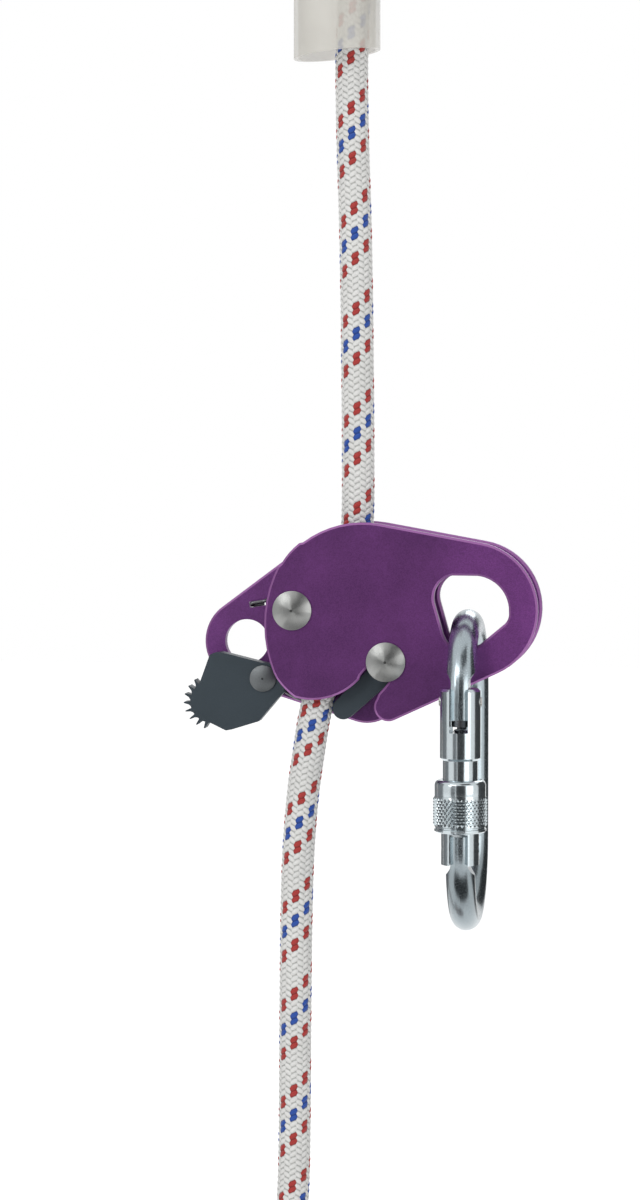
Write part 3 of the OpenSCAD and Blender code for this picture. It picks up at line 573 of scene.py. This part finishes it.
def sleeveRing():
    # its faces are listed here, since those of an extruded ring come in another order each run
    outline = lock["outline"] + [(lock["neck"], lock["length"]), (lock["neck"], lock["length"] - lock["lipLength"]),
                                 (lock["bore"], lock["length"] - lock["lipLength"]), (lock["bore"], 0.0)]
    around = lock["around"]
    corners = [2 * math.pi * k / around for k in range(around)]
    points = [(radius * math.cos(corner) * mm, radius * math.sin(corner) * mm, height * mm)
              for radius, height in outline for corner in corners]
    faces = []
    for i in range(len(outline)):
        j = (i + 1) % len(outline)
        for k in range(around):
            m = (k + 1) % around
            faces.append((i * around + m, j * around + m, j * around + k, i * around + k))
    mesh = bpy.data.meshes.new("sleeveRing")
    mesh.from_pydata(points, [], faces)
    ring = bpy.data.objects.new("sleeveRing", mesh)
    bpy.context.scene.collection.objects.link(ring)
    clearSelection()
    ring.select_set(True)
    bpy.context.view_layer.objects.active = ring
    bpy.ops.object.shade_smooth_by_angle(angle=math.radians(lock["smoothAngle"]))
    return ring


def lockingSleeve():
    sleeve = sleeveRing()
    width = 2 * math.pi * knurl["radius"] / knurl["around"]
    height = (knurl["high"] - knurl["low"]) / knurl["rows"]
    clearSelection()
    bpy.ops.mesh.primitive_cone_add(vertices=4, radius1=0.5 * mm, radius2=0.5 * knurl["flat"] * mm,
                                    depth=knurl["rise"] * mm, end_fill_type="NGON")
    point = bpy.context.object
    bpy.ops.object.mode_set(mode="EDIT")
    bpy.ops.mesh.select_all(action="SELECT")
    bpy.ops.transform.resize(value=(width, height, 1), center_override=(0, 0, 0))
    bpy.ops.object.mode_set(mode="OBJECT")
    turnOut = Matrix.Rotation(math.pi / 2, 4, "X")
    point.data.transform(Matrix.Translation((0, -(knurl["radius"] + knurl["rise"] / 2) * mm, 0)) @ turnOut)
    column = []
    for i in range(2 * knurl["rows"] - 1):
        turn = Matrix.Rotation(math.pi / knurl["around"] * (i % 2), 4, "Z")
        lift = Matrix.Translation((0, 0, (knurl["low"] + height * (i + 1) / 2) * mm))
        column.append(copied(point, lift @ turn))
    column = joined(column, "knurlColumn")
    columns = [copied(column, Matrix.Rotation(2 * math.pi * i / knurl["around"], 4, "Z"))
               for i in range(knurl["around"])]
    for spare in (point, column):
        bpy.data.objects.remove(spare)
    whole = joined([sleeve] + columns, "lockingSleeve")
    whole.data.transform(Matrix.Translation((lock["axis"][0] * mm, lock["axis"][1] * mm, lock["low"] * mm)))
    whole.data.materials.clear()
    whole.data.materials.append(zinc)
    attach(whole, "locking_sleeve")
    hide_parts("locking_sleeve")


lockingSleeve()
print("locking sleeve made")


def sweptPiece(name, path, across, outward, section, finish, closed):
    # a section carried along a path, for straps and thread; its map is mm along the path and mm round the section
    mesh = bpy.data.meshes.new(name)
    around, count = len(section), len(path)
    points = [Vector(p) + Vector(a) * s + Vector(o) * h for p, a, o in zip(path, across, outward) for s, h in section]
    faces, values = [], []
    along = [0.0]
    for i in range(1, count + 1):
        along.append(along[-1] + (Vector(path[i % count]) - Vector(path[i - 1])).length)
    run = [0.0]
    for k in range(1, around + 1):
        (s0, h0), (s1, h1) = section[k - 1], section[k % around]
        run.append(run[-1] + math.hypot(s1 - s0, h1 - h0))
    for i in range(count if closed else count - 1):
        j = (i + 1) % count
        for k in range(around):
            m = (k + 1) % around
            faces.append((i * around + k, i * around + m, j * around + m, j * around + k))
            values += [(along[i], run[k]), (along[i], run[k + 1]), (along[i + 1], run[k + 1]), (along[i + 1], run[k])]
    if not closed:
        faces += [tuple(range(around - 1, -1, -1)), tuple(range((count - 1) * around, count * around))]
        values += [(0.0, 0.0)] * (2 * around)
    mesh.from_pydata([point * mm for point in points], [], faces)
    uv = mesh.uv_layers.new(name="weave")
    uv.data.foreach_set("uv", [c for value in values for c in value])
    mesh.polygons.foreach_set("use_smooth", [True] * len(mesh.polygons))
    mesh.materials.append(finish)
    mesh.update()
    piece = bpy.data.objects.new(name, mesh)
    bpy.context.scene.collection.objects.link(piece)
    checker = bmesh.new()
    checker.from_mesh(mesh)
    bmesh.ops.recalc_face_normals(checker, faces=checker.faces)
    checker.to_mesh(mesh)
    checker.free()
    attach(piece, "rope_line")
    return piece


def wovenFinish(name, colour, warp, weft, depth, roughness, sheen):
    material, tree, shader = newMaterial(name, Sheen_Weight=sheen)
    along, across, _ = mapPlace(tree, "weave")
    ribs = addMath(tree, "SINE", addMath(tree, "MULTIPLY", across, 2 * math.pi / warp))
    picks = addMath(tree, "SINE", addMath(tree, "ADD", addMath(tree, "MULTIPLY", along, 2 * math.pi / weft),
                                          addMath(tree, "MULTIPLY", addMath(tree, "SIGN", ribs), math.pi / 2)))
    fuzz = addNoise(tree, objectPoint(tree), 1800, 4, 0.7)
    weave = addMath(tree, "ADD", addMath(tree, "MULTIPLY", addMath(tree, "ADD", ribs, picks), 0.25), fuzz)
    dark, light = tuple(c * 0.6 for c in colour), tuple(c * 1.5 for c in colour)
    base = addMix(tree, addRange(tree, weave, 0.1, 0.9), dark, light)
    tree.links.new(base, shader.inputs["Base Color"])
    tree.links.new(addRange(tree, fuzz, 0.3, 0.7, roughness * 0.9, roughness * 1.1), shader.inputs["Roughness"])
    addBump(tree, shader, weave, 0.7, depth)
    return material


# the coil's three straps: each a woven band round all the turns, its end folded over and pressed on
strap = {"angles": (60, 180, 300), "width": 16.0, "wall": 1.5, "slack": 0.25, "step": 1.6,
         "flapLength": 32.0, "flapWall": 1.2, "flapInset": 1.0, "flapStart": 62,
         "colour": (0.022, 0.023, 0.027), "warp": 1.1, "weft": 1.6, "weaveDepth": 0.0002, "roughness": 0.85,
         "sheen": 0.3}


def strapSection(width, wall):
    half, edge = width / 2, wall / 2
    return [(-half, edge * 0.6), (-half + 0.5, edge), (-half + 1.4, edge * 0.86), (half - 1.4, edge * 0.86),
            (half - 0.5, edge), (half, edge * 0.6), (half, -edge * 0.6), (half - 0.5, -edge), (-half + 0.5, -edge),
            (-half, -edge * 0.6)]


def pulledLoop(points, reach, step):
    # the shortest loop round the turns' middles, moved out by the reach, with its outward directions
    ordered = sorted(set((round(x, 2), round(y, 2)) for x, y in points))

    def half(items):
        chain = []
        for x, y in items:
            while len(chain) > 1 and ((chain[-1][0] - chain[-2][0]) * (y - chain[-2][1])
                                      - (chain[-1][1] - chain[-2][1]) * (x - chain[-2][0])) <= 0:
                chain.pop()
            chain.append((x, y))
        return chain[:-1]
    hull = half(ordered) + half(ordered[::-1])
    loop, outward = [], []
    for i, (x, y) in enumerate(hull):
        before, after = hull[i - 1], hull[(i + 1) % len(hull)]
        first = math.atan2(before[0] - x, y - before[1])
        last = math.atan2(x - after[0], after[1] - y)
        swing = (last - first) % (2 * math.pi)
        bends = max(1, round(swing * reach / step))
        for k in range(bends + 1):
            angle = first + swing * k / bends
            outward.append((math.cos(angle), math.sin(angle)))
            loop.append((x + reach * math.cos(angle), y + reach * math.sin(angle)))
        far = math.hypot(after[0] - x, after[1] - y)
        for k in range(1, int(far / step)):
            share = k / int(far / step)
            outward.append((math.cos(last), math.sin(last)))
            loop.append((x + reach * math.cos(last) + (after[0] - x) * share,
                         y + reach * math.sin(last) + (after[1] - y) * share))
    return loop, outward


def coilStraps():
    finish = wovenFinish("tieWebbing", strap["colour"], strap["warp"], strap["weft"], strap["weaveDepth"],
                         strap["roughness"], strap["sheen"])
    coilCentre = np.array([route["coilX"], 0.0, -route["coilDrop"]])
    turns = ropeLine[ropeAlong > pointAlong[lastPoint["ropeLower"]]] - coilCentre
    reach = route["radius"] + strap["slack"] + strap["wall"] / 2
    made = []
    for angle in strap["angles"]:
        turn = Matrix.Rotation(math.radians(-angle), 4, "Y")
        outwards, sideways = np.array(turn @ Vector((1, 0, 0))), np.array(turn @ Vector((0, 0, 1)))
        radial = turns @ outwards
        held = (np.abs(turns @ sideways) < strap["width"] / 2) & (radial > 0)
        loop, outward = pulledLoop(list(zip(radial[held], turns[held][:, 1])), reach, strap["step"])
        centre = Vector(coilCentre)
        for kind, lift, wall in (("band", 0.0, strap["wall"]), ("flap", (strap["wall"] + strap["flapWall"]) / 2,
                                                              strap["flapWall"])):
            if kind == "flap":
                # it lies on the front face and turns round the outer edge
                first = min(range(len(loop)), key=lambda i: loop[i][1] * 2 + abs(loop[i][0] - strap["flapStart"]))
                order = [(first + i) % len(loop) for i in range(round(strap["flapLength"] / strap["step"]))]
                loop = [(loop[i][0] + lift * outward[i][0], loop[i][1] + lift * outward[i][1]) for i in order]
                outward = [outward[i] for i in order]
            path = [centre + turn @ Vector((x, y, 0)) for x, y in loop]
            out = [turn @ Vector((x, y, 0)) for x, y in outward]
            width = strap["width"] - (strap["flapInset"] if kind == "flap" else 0.0)
            made.append(sweptPiece(f"{kind}{angle}", path, [Vector(sideways)] * len(path), out,
                                   strapSection(width, wall), finish, kind == "band"))
    straps = joined(made, "coilStraps")
    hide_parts("coil_ties")


coilStraps()

# the sewn eye's bar tacks: one thread that runs to and fro over both legs, on each face
tack = {"bars": 9, "first": -57.0, "last": -84.0, "half": 7.2, "radius": 0.6, "standOff": 6.2, "lean": 1.4,
        "sides": 10, "shares": (0.0, 0.25, 0.5, 0.75, 0.93), "colour": (0.70, 0.66, 0.56), "warp": 1.9, "weft": 0.8,
        "weaveDepth": 0.0002, "roughness": 0.7, "sheen": 0.2}


def eyeStitches():
    finish = wovenFinish("tackThread", tack["colour"], tack["warp"], tack["weft"], tack["weaveDepth"],
                         tack["roughness"], tack["sheen"])
    corners = [2 * math.pi * k / tack["sides"] for k in range(tack["sides"])]
    section = [(tack["radius"] * math.cos(corner), tack["radius"] * math.sin(corner)) for corner in corners]
    made = []
    for face in (-1, 1):
        path = []
        for i in range(tack["bars"] * 2):
            height = tack["first"] + (tack["last"] - tack["first"]) * i / (tack["bars"] * 2 - 1)
            side = -1 if i % 2 else 1
            for share in tack["shares"]:
                x = side * tack["half"] * (1 - 2 * share)
                path.append(Vector((x, face * tack["standOff"], height - share * tack["lean"])))
        heading = [(path[min(i + 1, len(path) - 1)] - path[max(i - 1, 0)]).normalized() for i in range(len(path))]
        outward = [Vector((0, face, 0))] * len(path)
        across = [h.cross(Vector((0, face, 0))).normalized() for h in heading]
        made.append(sweptPiece(f"tacks{face}", path, across, outward, section, finish, False))
    stitches = joined(made, "eyeStitches")
    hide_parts("eye_stitching")


eyeStitches()
print("straps and stitches made")

# the torsion spring: it winds round the bollard's waist, with a folded end in the rear plate's slot
torsion = {"pivot": (-13.5, 0.0, -293.4), "wire": 1.2, "coilRadius": 7.9, "back": 6.05, "turns": 2.35, "pitch": 1.4,
           "start": 116.0, "slotMiddle": (-14.4, 1.3), "slotLean": 9.0, "roundness": 3,
           "windingSteps": 48, "smoothAngle": 40}


def torsionSpring():
    lean = math.radians(torsion["slotLean"])
    front = torsion["back"] - torsion["turns"] * torsion["pitch"]

    def inSlot(a, b, deep):
        x = torsion["slotMiddle"][0] + a * math.cos(lean) - b * math.sin(lean)
        z = torsion["slotMiddle"][1] + a * math.sin(lean) + b * math.cos(lean)
        return (x, torsion["back"] + deep, z)
    folded = [inSlot(2.1, -0.38, 2.0), inSlot(0.4, -0.38, 2.0), inSlot(-1.3, -0.38, 1.9), inSlot(-2.0, -0.2, 1.2),
              inSlot(-2.1, 0.2, 0.4), inSlot(-1.6, 0.44, 0.0), inSlot(0.5, 0.45, 0.0), inSlot(3.0, 0.6, 0.0),
              inSlot(5.2, 1.7, -1.6)]
    wound = []
    for i in range(torsion["windingSteps"] + 1):
        share = torsion["turns"] * i / torsion["windingSteps"]
        angle = math.radians(torsion["start"] - 360 * share)
        wound.append((torsion["coilRadius"] * math.cos(angle), front + torsion["pitch"] * share,
                      torsion["coilRadius"] * math.sin(angle)))
    foot = [(6.6, torsion["back"], -9), (5.4, torsion["back"], -20), (3.8, torsion["back"], -26.6),
            (2.2, torsion["back"] - 1, -29.4), (0.4, 3.9, -30.4), (-1.8, 3.9, -29.5), (-4.3, 3.9, -28.2)]
    line, _, _ = smoothLine(folded + wound + foot, 4)
    path = [(Vector(torsion["pivot"]) + Vector(point)) * mm for point in line]
    clearSelection()
    bpy.ops.mesh.primitive_circle_add(vertices=3, radius=torsion["wire"] * mm, location=path[0])
    bpy.ops.object.mode_set(mode="EDIT")
    bpy.ops.mesh.select_all(action="SELECT")
    bpy.ops.mesh.merge(type="CENTER")  # one point, which is drawn out along the wire's route
    for here, there in zip(path, path[1:]):
        bpy.ops.mesh.extrude_region_move(TRANSFORM_OT_translate={"value": there - here})
    bpy.ops.object.mode_set(mode="OBJECT")
    bpy.ops.object.transform_apply(location=True, rotation=True, scale=True)
    bpy.ops.object.convert(target="CURVE")
    spring = bpy.context.object
    spring.data.bevel_depth = torsion["wire"] / 2 * mm
    spring.data.bevel_resolution = torsion["roundness"]
    spring.data.use_fill_caps = True
    bpy.ops.object.convert(target="MESH")
    spring = bpy.context.object
    bpy.ops.object.mode_set(mode="EDIT")
    bpy.ops.mesh.select_all(action="SELECT")
    bpy.ops.mesh.remove_doubles(threshold=0.000001)
    bpy.ops.mesh.normals_make_consistent(inside=False)
    bpy.ops.object.mode_set(mode="OBJECT")
    bpy.ops.object.shade_smooth_by_angle(angle=math.radians(torsion["smoothAngle"]))
    spring.name = spring.data.name = "torsionSpring"
    spring.data.materials.clear()
    spring.data.materials.append(wire)
    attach(spring, "rope_line")
    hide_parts("torsion_spring")


torsionSpring()
print("torsion spring made")

# a pale floor under the rope, a white surround and soft lamps
studio = {"floorHeight": -0.75, "floorReach": 6.0, "floorGlow": 0.55, "worldLevel": 0.55, "worldSeen": 0.45}
# lamps: place, what they point at, size and power
lamps = {"key": ((-0.9, -1.5, 0.6), (0, 0, -0.3), 0.9, 11.0), "fill": ((1.4, -1.2, -0.1), (0, 0, -0.35), 1.0, 5.0),
         "rim": ((0.3, 1.4, 0.7), (0, 0, -0.3), 0.8, 6.0)}
# dark cards that only the gloss sees: azimuth, elevation, distance, width, height and shade
cards = {"frontCard": (1, 0, 1.25, 0.96, 1.5, 0.06), "frontLeftCard": (-34, 0, 1.25, 0.44, 1.5, 0.3),
         "leftBackCard": (-128, 0, 1.0, 1.9, 1.6, 0.3), "rightBackCard": (118, 0, 1.0, 1.3, 1.6, 0.07),
         "lowCard": (5, -62, 0.42, 0.8, 0.36, 0.07), "highCard": (30, 52, 0.9, 0.6, 0.4, 0.15)}


def seenAsBackground(tree):
    # 1 where the camera, a gloss or a clear part looks at the surround
    path = tree.nodes.new("ShaderNodeLightPath")
    return addMath(tree, "MAXIMUM", path.outputs["Is Camera Ray"],
                   addMath(tree, "MAXIMUM", path.outputs["Is Glossy Ray"], path.outputs["Is Transmission Ray"]))


floorMesh = bpy.data.meshes.new("floor")
reach = studio["floorReach"]
floorMesh.from_pydata([(x, y, studio["floorHeight"]) for x, y in ((-reach, -reach), (reach, -reach), (reach, reach),
                                                                  (-reach, reach))], [], [(0, 1, 2, 3)])
floor = bpy.data.objects.new("floor", floorMesh)
bpy.context.scene.collection.objects.link(floor)
floorFinish, floorTree, floorShader = newMaterial("floor", Roughness=0.9, Base_Color=(0.9, 0.9, 0.9))
floorShader.inputs["Emission Color"].default_value = (1, 1, 1, 1)
floorTree.links.new(addMath(floorTree, "MULTIPLY", seenAsBackground(floorTree), studio["floorGlow"]),
                    floorShader.inputs["Emission Strength"])
floorMesh.materials.append(floorFinish)

world = bpy.data.worlds.new("studio")
bpy.context.scene.world = world
world.use_nodes = True
worldTree = world.node_tree
background = worldTree.nodes["Background"]
seen = seenAsBackground(worldTree)
worldTree.links.new(addMath(worldTree, "ADD", studio["worldLevel"],
                            addMath(worldTree, "MULTIPLY", seen, studio["worldSeen"])), background.inputs["Strength"])
background.inputs["Color"].default_value = (1, 1, 1, 1)


def lamp(name, place, target, size, power):
    data = bpy.data.lights.new(name, "AREA")
    data.shape, data.size, data.energy = "SQUARE", size, power
    item = bpy.data.objects.new(name, data)
    bpy.context.scene.collection.objects.link(item)
    item.location = place
    item.rotation_euler = (Vector(target) - Vector(place)).to_track_quat("-Z", "Y").to_euler()


for name, values in lamps.items():
    lamp(name, *values)


def darkCard(name, azimuth, elevation, distance, width, height, shade):
    # the azimuth counts to the right from the camera
    mesh = bpy.data.meshes.new(name)
    turn = math.radians(azimuth + cameraView["azimuth"])
    lift = math.radians(elevation)
    outwards = Vector((math.sin(turn) * math.cos(lift), -math.cos(turn) * math.cos(lift), math.sin(lift)))
    across = Vector((math.cos(turn), math.sin(turn), 0)) * width / 2
    rise = outwards.cross(across).normalized() * height / 2
    centre = Vector((0.02, 0, -0.34)) + outwards * distance
    mesh.from_pydata([centre - across - rise, centre + across - rise, centre + across + rise, centre - across + rise],
                     [], [(0, 1, 2, 3)])
    material, _, shader = newMaterial(name, Base_Color=(shade, shade * 1.02, shade * 1.06), Roughness=0.9)
    mesh.materials.append(material)
    card = bpy.data.objects.new(name, mesh)
    bpy.context.scene.collection.objects.link(card)
    card.visible_camera = card.visible_diffuse = card.visible_shadow = card.visible_transmission = False


for name, values in cards.items():
    darkCard(name, *values)
print("studio set")
